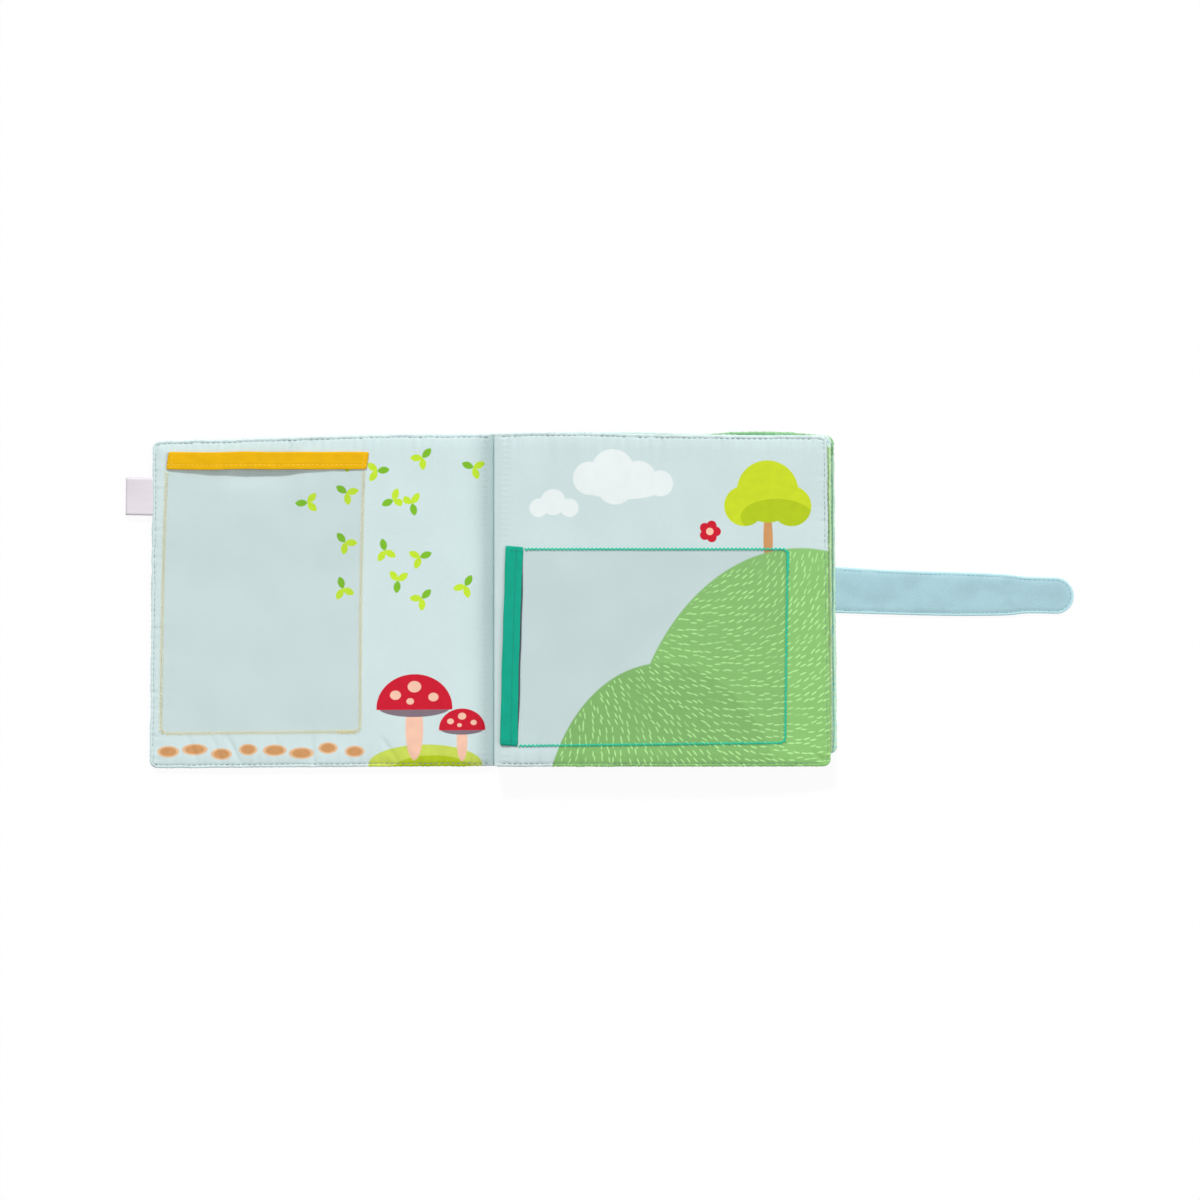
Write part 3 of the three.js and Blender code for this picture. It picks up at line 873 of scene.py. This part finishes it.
def dress_pocket(*values, **more):
    """Film, bound edge, seam and the tape's stitches, made from a pocket's values."""
    pocket = Pocket(*values, **more)
    depth, across, colour = pocket.depth, pocket.across, pocket.colour
    start, end = pocket.tape_ends

    def film_place(t, w, out):
        return pocket.on_film(t * depth, (w - 0.5) * across, out)

    def tape_place(t, w, out):
        w += 0.02 * math.sin(math.tau * w)
        return pocket.on_tape(t * pocket.tape_run, start + (end - start) * w, out)

    def line_place(end, face):
        return pocket.on_tape(max(0.2 * mm, end.x), end.y, tape_wall / 2 + 0.1 * mm)

    film = build_sheet(pocket.stem + "_window", 90, 64, film_place, film_half, film_material)
    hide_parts(pocket.stem + "_film")
    tape = build_sheet(pocket.stem + "_binding", 64, 110, tape_place, tape_wall / 2, *tape_of[colour])
    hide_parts(pocket.stem + "_tape")
    half, far, near = across / 2 - zigzag_inset, depth - zigzag_inset, pocket.leg + 0.6 * mm
    corners = [Vector(corner) for corner in ((near, -half), (far, -half), (far, half), (near, half))]
    stitches = zigzag(pocket, *rounded_run(corners, zigzag_corner))
    beside = Vector((0.3 * mm, zigzag_pitch / 4))
    stitches += zigzag(pocket, *(Vector((far, half - back)) + beside for back in (lock_from, lock_to)))
    seam = sew(pocket.stem + "_zigzag", stitches, zigzag_radius[colour], seam_thread[colour])
    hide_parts(pocket.stem + "_seam")
    edge_line = tape_line[colour]
    lines = [((edge_line, start + 1 * mm), (edge_line, end - 1 * mm))]
    for end_line in (start + tape_end_line, end - tape_end_line):
        lines.append(((0.8 * mm, end_line), (pocket.leg - 0.3 * mm, end_line)))
    line_dashes = []
    for line in lines:
        line_dashes += dashes([Vector(place) for place in line], fine_pitch, fine_half)
    stitches = on_faces([pocket.face], line_dashes, line_place)
    tape_stitch = sew(pocket.stem + "_tape_stitch", stitches, 0.16 * mm, line_thread[colour])
    for piece in (film, tape, seam, tape_stitch):
        ride_page(piece, pocket.page)


open_left = ((-181.2, 81.4), (-71.6, 81.6), (-184.8, -73.6), (-73.9, -72.4))
open_right = ((3.3, -80.2), (6.4, 29.0), (160.0, -78.4), (161.4, 29.0))
dress_pocket(
    front_cover, "front_cover_pocket", 1, "yellow", (-0.2, 1.0), 1.0, open_left, agape=(0.38, 0.95), bow=-0.75
)
dress_pocket(leaf_1, "leaf_1_front_pocket", 1, "teal", (-0.2, 0.6), 0.8, open_right)
dress_pocket(leaf_1, "leaf_1_back_pocket", -1, "yellow", (-1.2, -0.8), 0.6)
dress_pocket(leaf_2, "leaf_2_front_pocket", 1, "teal", (0.2, 0.5), 0.4)
dress_pocket(leaf_2, "leaf_2_back_pocket", -1, "yellow", (-0.6, -1.2), -0.5)
dress_pocket(back_cover, "back_cover_pocket", 1, "teal", (0.3, 0.3), -0.4)


# Spine: all the cloths meet in one rolled seam, ribbed by its stitches, and the covers' outer
# cloth runs across beneath it from one cover to the other.
roll_radius, roll_rib, roll_over = 0.45 * mm, 0.12, 8 * mm
strip_reach, strip_over, strip_lap = 5.5 * mm, 6 * mm, 0.7 * mm
strip_height, strip_wave, strip_wall = 0.17 * mm, 0.05 * mm, 0.12 * mm


def lay_cloth(bm):
    """Gives the weave and the print their place by the piece's own x and y."""
    layer = bm.loops.layers.uv.new("cloth")
    for face in bm.faces:
        for loop in face.loops:
            loop[layer].uv = loop.vert.co.xy


seam_low, seam_high = corners_of("spine_seam")
bm = make_grid(12, 120)
for v in bm.verts:
    angle = (v.co.x + 0.5) * math.tau
    y = v.co.y * (seam_high.y - seam_low.y + roll_over)
    radius = roll_radius * (1 + roll_rib * math.sin(y / (0.8 * mm)))
    v.co = Vector((0.1 * mm + radius * math.sin(angle), y, spine_z + radius * math.cos(angle)))
lay_cloth(bm)
bmesh.ops.remove_doubles(bm, verts=bm.verts[:], dist=0.001 * mm)
bmesh.ops.holes_fill(bm, edges=bm.edges[:])
spine_roll = make_piece("spine_roll", bm, first_left)
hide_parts("spine_seam")
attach(spine_roll, "back_cover")

strip_low, strip_high = corners_of("spine_cloth")
strip_length = strip_high.y - strip_low.y + strip_over
bm = make_grid(24, 110)
for v in bm.verts:
    x, y = 2 * v.co.x * strip_reach, v.co.y * strip_length
    v.co = Vector((x, y, strip_height + strip_wave * ripple(x / (4 * mm), y / (30 * mm), 5)))
lay_cloth(bm)
bmesh.ops.solidify(bm, geom=bm.faces[:], thickness=-strip_wall)
spine_wrap = make_piece("spine_wrap", bm, outer_cloth)
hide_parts("spine_cloth")
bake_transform(spine_wrap)


# Closing strap: two layers of pale blue velour sewn face to face, turned out and topstitched,
# square at the seam that holds it and round at the tip. It lies a little askew, as in use.
strap_low, strap_high = corners_of("strap_bridge_face")
strap_root, fold_x, strap_middle = strap_low.x, strap_high.x, strap_high.z / 2
strap_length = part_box("strap_tail_face")[1][0] - strap_root
strap_start, strap_join = -1.2 * mm, 11 * mm
strap_inset = 1.6 * mm
strap_tip = 10 * mm
strap_roll, strap_rim, strap_rise = 1.0 * mm, 0.24 * mm, 0.42 * mm
strap_groove, strap_crown = 0.24 * mm, 0.12 * mm
# In millimetres: the distance from the root, the middle line's y there and half the width.
strap_line = [
    (-5, 6.3, 12.7), (0, 6.1, 12.7), (26, 4.9, 12.25), (48, 4.2, 12.15), (65, 3.85, 12.1), (81, 3.6, 11.8),
    (92, 3.4, 11.4), (98, 3.3, 10.9), (103, 3.3, 10.2), (109, 3.25, 10), (131, 2.75, 10),
]


def strap_at(distance):
    """The strap's middle line and half its width, at a distance from its root."""
    d = distance / mm
    for (d0, y0, w0), (d1, y1, w1) in zip(strap_line, strap_line[1:]):
        if d <= d1 + 0.01:
            t = (d - d0) / (d1 - d0)
            break
    half = (w0 + (w1 - w0) * t) * mm
    past = distance - (strap_length - strap_tip)
    if past > 0:
        half = min(half, math.sqrt(max(strap_tip**2 - past * past, 0)))
    return (y0 + (y1 - y0) * t) * mm, half


def strap_thickness(inset):
    """Half the strap's thickness: a rounded edge, the topstitch's groove, then a flat middle."""
    t = min(1, max(inset, 0) / strap_roll)
    half = strap_rim + strap_rise * math.sqrt(1 - (1 - t) ** 2)
    half += strap_crown * smooth((inset - strap_inset) / (2.5 * mm))
    return half - strap_groove * bell((inset - strap_inset) / (0.5 * mm))


def build_strap(name, start, end):
    """A stretch of the strap between two distances from its root. Its lines lie closer together
    towards its edges, and towards the tip."""
    columns = max(8, round((end - start) / (0.9 * mm)))
    rows = [0, 0.03, 0.07, 0.12, 0.17, 0.23, 0.32, 0.45, 0.62, 0.8]
    rows = rows + [1] + [2 - row for row in reversed(rows)]
    bm = make_grid(columns, len(rows) - 1, 2)
    # The distance in from the edge, which places the painted highlight on the rolled edge.
    rim = bm.verts.layers.float.new("inset")
    tip = end == strap_length
    for v in bm.verts:
        t = v.co.x + 0.5
        if tip:
            t = 1.05 * t - 0.05 * t * t if t < 0.8 else 1 - (1 - 0.808) * ((1 - t) / 0.2) ** 1.8
        distance = start + (end - start) * t
        row = rows[round((v.co.y + 0.5) * (len(rows) - 1))] - 1
        middle, half = strap_at(distance)
        y = row * max(half, 0.02 * mm)
        past = distance - (strap_length - strap_tip)
        inset = strap_tip - math.hypot(past, y) if tip and past > 0 else half - abs(y)
        v[rim] = max(inset, 0) / mm
        face = 1 if v.co.z > 0.5 else -1
        wave = 0.14 * mm * ripple(distance / (14 * mm), y / (10 * mm), 2)
        gather = 0.12 * mm * ripple(distance / (2.6 * mm), 4, 9) * math.exp(-max(inset, 0) / (3 * mm))
        thick = strap_thickness(inset) + (wave + gather if face > 0 else gather)
        v.co = Vector((strap_root + distance, middle + y, strap_middle + face * thick))
    lay_cloth(bm)
    bmesh.ops.remove_doubles(bm, verts=bm.verts[:], dist=0.01 * mm)
    ends = [strap_root + start] + ([] if tip else [strap_root + end])
    for edge in bm.edges:
        if any(all(abs(v.co.x - x) < 0.001 * mm for v in edge.verts) for x in ends):
            edge.smooth = False
    return make_piece(name, bm, strap_velour)


# The strap's velour has the painted highlight on its rolled edge.
strap_velour = cover_velour("strap_velour", linear(170, 207, 216), True)
strap_base = build_strap("strap_base", strap_start, strap_join)
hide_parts("strap_bridge_face", "strap_bridge_back")
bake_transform(strap_base)
strap_end = build_strap("strap_end", strap_join, strap_length)
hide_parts("strap_tail_face", "strap_tail_back")
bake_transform(strap_end)

strap_thread = thread_material("strap_thread", linear(122, 166, 180))
route_step = 2 * mm
distances = [i * route_step for i in range(1, int((strap_length - strap_tip) / route_step))]
upper = [Vector((d, strap_at(d)[1] - strap_inset)) for d in distances]
radius = strap_tip - strap_inset
turns = [math.pi / 2 - math.pi * i / 12 for i in range(13)]
tip = [Vector((strap_length - strap_tip + radius * math.cos(a), radius * math.sin(a))) for a in turns]
route = upper + tip + [Vector((place.x, -place.y)) for place in reversed(upper)]
strap_dashes = dashes(route, fine_pitch, fine_half)
stitch_height = strap_thickness(strap_inset) + 0.05 * mm


def strap_place(end, face):
    return Vector((strap_root + end.x, strap_at(end.x)[0] + end.y, strap_middle + face * stitch_height))


for name, body, first, last in [
    ("strap_base_stitch", "strap_bridge", 2 * mm, fold_x - strap_root - 3 * mm),
    ("strap_end_stitch", "strap_tail", fold_x - strap_root + 2.5 * mm, strap_length),
]:
    held = [dash for dash in strap_dashes if all(first <= end.x <= last for end in dash)]
    thread = sew(name, on_faces((1, -1), held, strap_place), 0.15 * mm, strap_thread)
    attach(thread, body)


# Hook patch: a stiff pad of nylon hooks, sewn flat to the front cover's outside where the strap's
# tip comes down on it.
hooks = Surface("hook_tape", {"Roughness": 0.5})
dots = hooks.texture("Voronoi", "Distance", {"Scale": 800, "Randomness": 0.2})
hooks.wear({"Base Color": hooks.mix(dots, linear(232, 242, 243), linear(176, 200, 204))})
hook_material = hooks.bump(dots, 1, 0.3 * mm, invert=True)
patch_low, patch_high = corners_of("front_cover_hook_patch")
bm = bmesh.new()
bmesh.ops.create_cube(bm, size=1)
bmesh.ops.scale(bm, vec=patch_high - patch_low, verts=bm.verts)
bmesh.ops.translate(bm, vec=(patch_low + patch_high) / 2, verts=bm.verts)
upright = [e for e in bm.edges if abs(e.verts[0].co.z - e.verts[1].co.z) > 0.1 * mm]
bmesh.ops.bevel(bm, geom=upright, offset=3 * mm, segments=6, profile=0.5, affect="EDGES", material=-1)
rims = [e for e in bm.edges if abs(e.verts[0].co.z - e.verts[1].co.z) < 0.01 * mm]
bmesh.ops.bevel(bm, geom=rims, offset=0.2 * mm, segments=2, profile=0.5, affect="EDGES", material=-1)
hook_patch = make_piece("hook_patch", bm, hook_material, rounded=False)
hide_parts("front_cover_hook_patch")
ride_page(hook_patch, front_cover)


# Label: a bare white woven ribbon, folded double, its ends caught in the front cover's seam. It is
# built a little higher than its node, because the askew cover pulls it down by as much.
ribbon = Surface("label_ribbon", {"Roughness": 0.6})
ribs = ribbon.texture("Wave", "Fac", {"Scale": 500}, bands_direction="Y")
ribbon.wear({"Base Color": ribbon.mix(ribs, linear(216, 208, 216), linear(230, 225, 231))})
label_material = ribbon.bump(ribs, 0.3, 0.05 * mm)
label_low, label_high = corners_of("label_ribbon")
label_middle, label_size = (label_low + label_high) / 2, label_high - label_low
label_tuck, label_rise, label_wall = 1.6 * mm, 2.1 * mm, 0.2 * mm
label_length = label_size.x + label_tuck
label_half = (label_size.z - label_wall) / 2
label_leg = label_length - label_half
label_run = 2 * label_leg + math.pi * label_half
bm = make_grid(48, 16)
for v in bm.verts:
    from_fold, lift = folded((v.co.x + 0.5) * label_run, label_leg, label_half)
    out = label_leg - from_fold
    share = out / label_length
    bow = 0.5 * mm * math.sin(math.pi * share) - 0.25 * mm * math.cos(v.co.y * 5) * share
    y = v.co.y * label_size.y + label_middle.y + label_rise
    x, y = front_cover.laid(label_high.x + label_tuck - out, y)
    v.co = Vector((x, y + 0.02 * out, label_middle.z + front_cover.sag(0) + lift + bow))
bmesh.ops.recalc_face_normals(bm, faces=bm.faces[:])
bmesh.ops.solidify(bm, geom=bm.faces[:], thickness=label_wall)
label = make_piece("bare_label", bm, label_material)
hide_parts("label_ribbon")
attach(label, "label")


# The room: a plain pale floor, soft light from above the album's upper left corner, and a camera
# straight over the open album.
floor_white, sky_light = 0.93, 0.31
photo_pixel = 0.55 * mm
photo_width = 1200 * photo_pixel
photo_centre = (105 * photo_pixel, 1 * photo_pixel)
focus_height = 0.01


def white_to_eye(tree, share):
    """A number that is the share where a ray comes from the camera, a gloss or a clear film."""
    path = add_node(tree, "LightPath")
    seen, *others = (
        Field(tree, path.outputs[kind]) for kind in ("Is Camera Ray", "Is Glossy Ray", "Is Transmission Ray")
    )
    for other in others:
        seen = seen.most(other)
    return seen * share


bpy.ops.mesh.primitive_plane_add(size=12)
floor = bpy.context.object
floor.name = "floor"
floor_material = bpy.data.materials.new("floor")
floor_material.use_nodes = True
tree = floor_material.node_tree
tree.nodes.clear()
matt = add_node(tree, "BsdfDiffuse", {"Color": (0.95, 0.95, 0.95, 1)}).outputs[0]
bright = add_node(tree, "Emission").outputs[0]
mixed = add_node(tree, "MixShader", {0: white_to_eye(tree, floor_white), 1: matt, 2: bright})
add_node(tree, "OutputMaterial", {"Surface": mixed.outputs[0]})
floor.data.materials.append(floor_material)

world = bpy.data.worlds.new("room")
bpy.context.scene.world = world
world.use_nodes = True
sky = white_to_eye(world.node_tree, 1 - sky_light) + sky_light
background = world.node_tree.nodes["Background"]
fill_inputs(world.node_tree, background, {"Color": (1, 1, 1, 1), "Strength": sky})

for name, energy, spread, tilt, swing in [
    ("key_light", 2.5, 5, -52.4, -21.8),
    ("side_light", 1.2, 40, 0, 48),
]:
    lamp = bpy.data.lights.new(name, "SUN")
    lamp.energy = energy
    lamp.angle = math.radians(spread)
    light = bpy.data.objects.new(name, lamp)
    light.rotation_euler = (math.radians(tilt), math.radians(swing), 0)
    bpy.context.collection.objects.link(light)

camera_data = bpy.data.cameras.new("camera")
camera_data.lens = 200
camera_data.sensor_width = 36
camera_data.clip_end = 20
camera = bpy.data.objects.new("camera", camera_data)
distance = photo_width * camera_data.lens / camera_data.sensor_width
camera.location = (*photo_centre, distance + focus_height)
bpy.context.collection.objects.link(camera)
bpy.context.scene.camera = camera
bpy.context.scene.view_settings.view_transform = "Standard"
